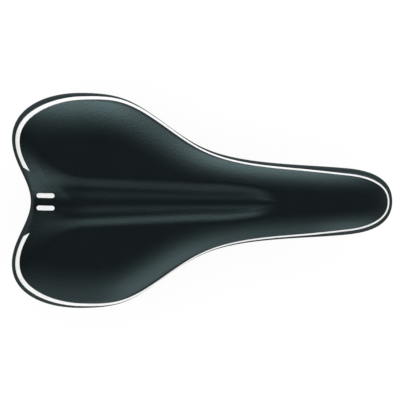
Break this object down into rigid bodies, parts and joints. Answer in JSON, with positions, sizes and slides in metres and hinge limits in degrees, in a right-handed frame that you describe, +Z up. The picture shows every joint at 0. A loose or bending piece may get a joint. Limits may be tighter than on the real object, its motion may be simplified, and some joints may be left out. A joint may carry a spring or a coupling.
{
  "type": "bicycle saddle",
  "caption": "Padded sport bicycle saddle with a shallow centre channel, swept wings, a slim nose and a light edge stripe, carried by a bent round rail for a seat post clamp.",
  "frame": {"origin": "under the middle of the overall box, on the plane that the rail's straight stretches stand on", "axes": "+X points to the nose, +Y to the rider's left, +Z up"},
  "size_m": [0.275, 0.156, 0.0616],
  "materials": {
    "cover": "satin",
    "print": "satin",
    "foam": "matte",
    "gel": "gloss",
    "base": "matte",
    "rail": "satin",
    "screw": "satin",
    "staple": "satin"
  },
  "bodies": {
    "root": {"cover": "cover", "edge_stripe": "print", "tail_bars": "print", "foam_pad": "foam", "gel_pad_left": "gel", "gel_pad_right": "gel", "base_shell": "base", "rails": "rail", "rear_socket_left": "base", "rear_socket_right": "base", "socket_screws_left": "screw", "socket_screws_right": "screw", "nose_clip": "base", "nose_screws": "screw", "cover_staples": "staple"}
  },
  "joints": []
}
